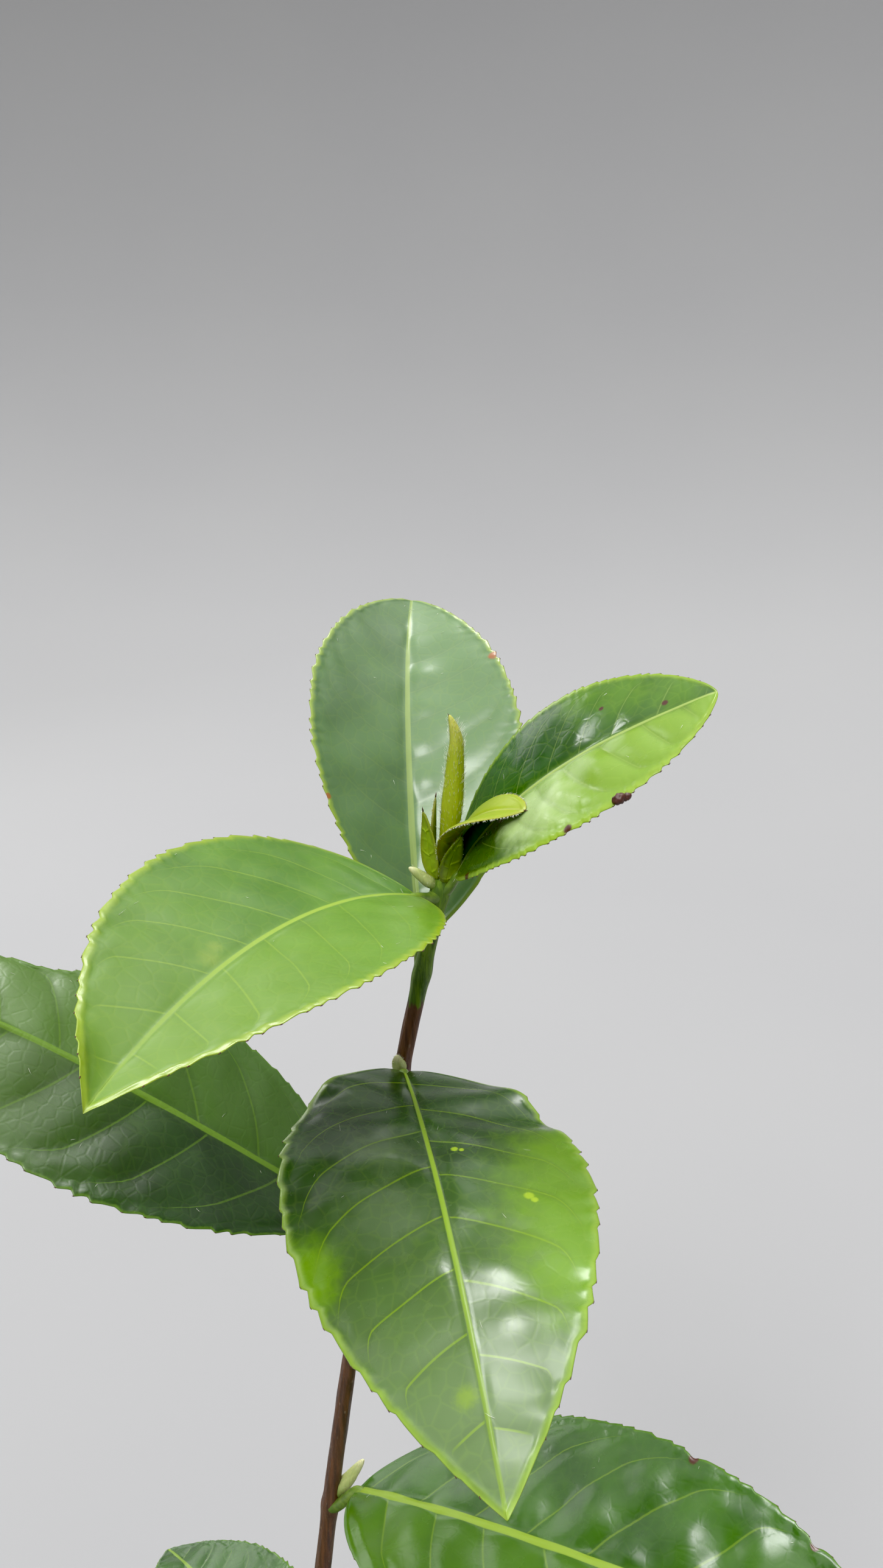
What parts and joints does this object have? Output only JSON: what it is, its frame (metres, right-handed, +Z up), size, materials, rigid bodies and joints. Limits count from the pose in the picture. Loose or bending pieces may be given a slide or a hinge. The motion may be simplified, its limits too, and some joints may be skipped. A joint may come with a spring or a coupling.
{
  "type": "potted tea plant",
  "caption": "Young potted tea plant: a leaning stem with broad serrated leaves in a spiral, a budding tip and a plain round pot.",
  "frame": {"origin": "centre of the pot's flat underside", "axes": "+Z up the plant, +X the way the stem leans, +Y to the back"},
  "size_m": [0.1681, 0.1479, 0.4096],
  "materials": {
    "pot": "satin charcoal moulded plastic",
    "potting_mix": "dark moist granular mix",
    "stem": "smooth brown bark, green towards the tip",
    "young_foliage": "glossy fresh green leaf",
    "old_foliage": "glossy dark green leaf",
    "flush": "yellow-green, finely silver-haired",
    "bud": "pale cream-green, matt"
  },
  "bodies": {
    "root": {"pot": "pot", "potting_mix": "potting_mix", "main_stem": "stem", "leaf_right": "young_foliage", "leaf_left_front": "young_foliage", "leaf_back": "old_foliage", "leaf_centre_front": "old_foliage", "leaf_far_left": "old_foliage", "leaf_low_right": "old_foliage", "leaf_low_front": "old_foliage", "leaf_low_back": "old_foliage", "leaf_lower_side": "old_foliage", "leaf_lowest": "old_foliage", "axil_bud_left_front": "bud", "axil_bud_centre_front": "bud", "axil_bud_far_left": "bud", "axil_bud_low_right": "bud", "axil_bud_low_front": "bud", "axil_bud_low_back": "bud", "axil_bud_lower_side": "bud", "axil_bud_lowest": "bud", "tip_bud": "flush", "young_leaf": "flush", "scale_left": "flush", "scale_right": "flush", "scale_back": "flush"}
  },
  "joints": []
}
